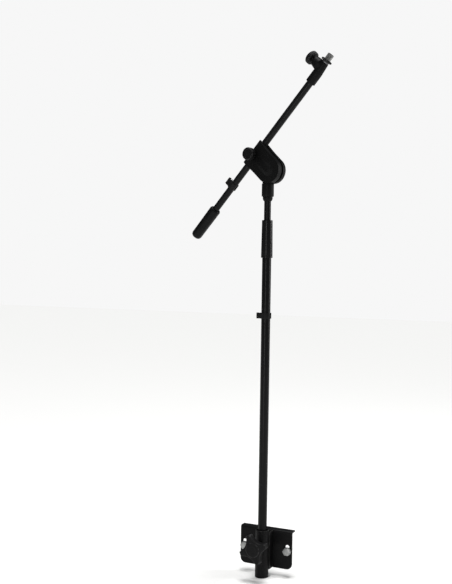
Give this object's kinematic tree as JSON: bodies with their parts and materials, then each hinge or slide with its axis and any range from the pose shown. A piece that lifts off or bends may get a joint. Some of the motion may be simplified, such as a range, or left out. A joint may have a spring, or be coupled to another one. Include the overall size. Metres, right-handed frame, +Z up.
{
  "type": "boom microphone stand",
  "caption": "Pole and telescopic boom that hold a microphone, standing in a clamp socket on a bracket that bolts to a stage deck's edge.",
  "frame": {"origin": "midway between the two deck bolts, on the rear face of the bracket plate", "axes": "+X right along the deck's edge, +Y into the deck, +Z up along the pole"},
  "size_m": [0.3987, 0.1129, 1.2661],
  "materials": {
    "bracket_paint": "satin black powder coat on steel",
    "tube_paint": "semi-gloss black paint on steel tube",
    "cast_paint": "fine textured black paint on die-cast metal",
    "knob_plastic": "satin black moulded plastic",
    "soft_plastic": "matt black plastic",
    "weight_coat": "satin black coating on the steel weight",
    "zinc": "bright zinc plate",
    "screw_steel": "plain steel",
    "adapter_metal": "nickel plated thread",
    "head_metal": "dark steel",
    "pad_brass": "turned brass",
    "bush_nylon": "natural nylon",
    "friction_fibre": "dark friction fibre"
  },
  "bodies": {
    "bracket": {"bracket_plate": "bracket_paint", "spacer_channel": "bracket_paint", "socket_tube": "bracket_paint", "socket_liner": "soft_plastic", "clamp_boss": "bracket_paint", "deck_bolts": "zinc", "deck_washers": "zinc"},
    "socket_pad": {"socket_pad": "pad_brass"},
    "star_knob": {"star_knob": "knob_plastic", "star_knob_screw": "screw_steel"},
    "pole": {"lower_tube": "tube_paint", "pole_end_plug": "soft_plastic", "clutch_body": "cast_paint", "clutch_collet": "bush_nylon"},
    "height_grip": {"clutch_nut": "knob_plastic", "clutch_grip": "soft_plastic"},
    "pole_clip": {"pole_cable_clip": "soft_plastic"},
    "mast": {"upper_rod": "tube_paint", "rod_guide_bush": "bush_nylon", "hub_collar": "cast_paint", "swivel_hub": "cast_paint", "friction_washers": "friction_fibre"},
    "clamp": {"front_shell": "cast_paint", "rear_shell": "cast_paint", "pivot_bolt": "screw_steel", "pivot_spring_washer": "screw_steel", "shell_screws": "screw_steel"},
    "boom_pad": {"boom_pad": "pad_brass"},
    "boom_knob": {"boom_knob": "knob_plastic", "boom_knob_screw": "screw_steel"},
    "boom": {"boom_tube": "tube_paint", "counterweight": "weight_coat", "counterweight_cap": "soft_plastic", "counterweight_screw": "screw_steel", "end_sleeve": "cast_paint"},
    "boom_clip": {"boom_cable_clip": "soft_plastic"},
    "sleeve_pad": {"sleeve_pad": "pad_brass"},
    "sleeve_knob": {"sleeve_knob": "knob_plastic", "sleeve_knob_screw": "screw_steel"},
    "inner_boom": {"inner_rod": "tube_paint", "inner_rod_bush": "bush_nylon", "rod_head": "head_metal", "thread_stud": "screw_steel", "thread_adapter": "adapter_metal"},
    "lock_ring": {"lock_ring": "knob_plastic"}
  },
  "joints": [
    {"name": "pole_turn", "type": "hinge", "parent": "bracket", "child": "pole", "pos_m": [0, -0.028, 0], "axis": [0, 0, 1], "continuous": true},
    {"name": "socket_pad_travel", "type": "slide", "parent": "bracket", "child": "socket_pad", "axis": [0, -1, 0], "range_m": [0, 0.002]},
    {"name": "star_knob_turn", "type": "hinge", "parent": "socket_pad", "child": "star_knob", "pos_m": [0, -0.088, 0.016], "axis": [0, -1, 0], "range_deg": [0, 480]},
    {"name": "height_grip_turn", "type": "hinge", "parent": "pole", "child": "height_grip", "pos_m": [0, -0.028, 0.76], "axis": [0, 0, 1], "range_deg": [0, 270]},
    {"name": "pole_clip_slide", "type": "slide", "parent": "pole", "child": "pole_clip", "axis": [0, 0, 1], "range_m": [-0.45, 0.12]},
    {"name": "height_slide", "type": "slide", "parent": "pole", "child": "mast", "axis": [0, 0, 1], "range_m": [-0.045, 0.55]},
    {"name": "boom_tilt", "type": "hinge", "parent": "mast", "child": "clamp", "pos_m": [0.01008, -0.02987, 0.9296], "axis": [-0.1822, -0.9833, 0], "range_deg": [-136.7, 43.3]},
    {"name": "boom_pad_travel", "type": "slide", "parent": "clamp", "child": "boom_pad", "axis": [-0.1822, -0.9833, 0], "range_m": [0, 0.00125]},
    {"name": "boom_knob_turn", "type": "hinge", "parent": "boom_pad", "child": "boom_knob", "pos_m": [-0.04106, -0.0509, 0.96925], "axis": [-0.1822, -0.9833, 0], "range_deg": [0, 360]},
    {"name": "boom_slide", "type": "slide", "parent": "clamp", "child": "boom", "axis": [0.6743, -0.125, 0.7278], "range_m": [-0.18, 0.035]},
    {"name": "boom_clip_slide", "type": "slide", "parent": "boom", "child": "boom_clip", "axis": [0.6743, -0.125, 0.7278], "range_m": [-0.06, 0.018]},
    {"name": "sleeve_pad_travel", "type": "slide", "parent": "boom", "child": "sleeve_pad", "axis": [-0.7156, 0.1326, 0.6858], "range_m": [0, 0.00125]},
    {"name": "sleeve_knob_turn", "type": "hinge", "parent": "sleeve_pad", "child": "sleeve_knob", "pos_m": [0.11806, -0.04988, 1.18612], "axis": [-0.7156, 0.1326, 0.6858], "range_deg": [0, 360]},
    {"name": "boom_extend", "type": "slide", "parent": "boom", "child": "inner_boom", "axis": [0.6743, -0.125, 0.7278], "range_m": [0, 0.3]},
    {"name": "lock_ring_turn", "type": "hinge", "parent": "inner_boom", "child": "lock_ring", "pos_m": [0.15571, -0.05686, 1.17572], "axis": [0.6743, -0.125, 0.7278], "range_deg": [0, 360]}
  ],
  "couplings": [
    {"joint": "star_knob_turn", "follows": "socket_pad_travel", "rad_per_m": 4188.8},
    {"joint": "boom_knob_turn", "follows": "boom_pad_travel", "rad_per_m": 5026.5},
    {"joint": "sleeve_knob_turn", "follows": "sleeve_pad_travel", "rad_per_m": 5026.5}
  ]
}
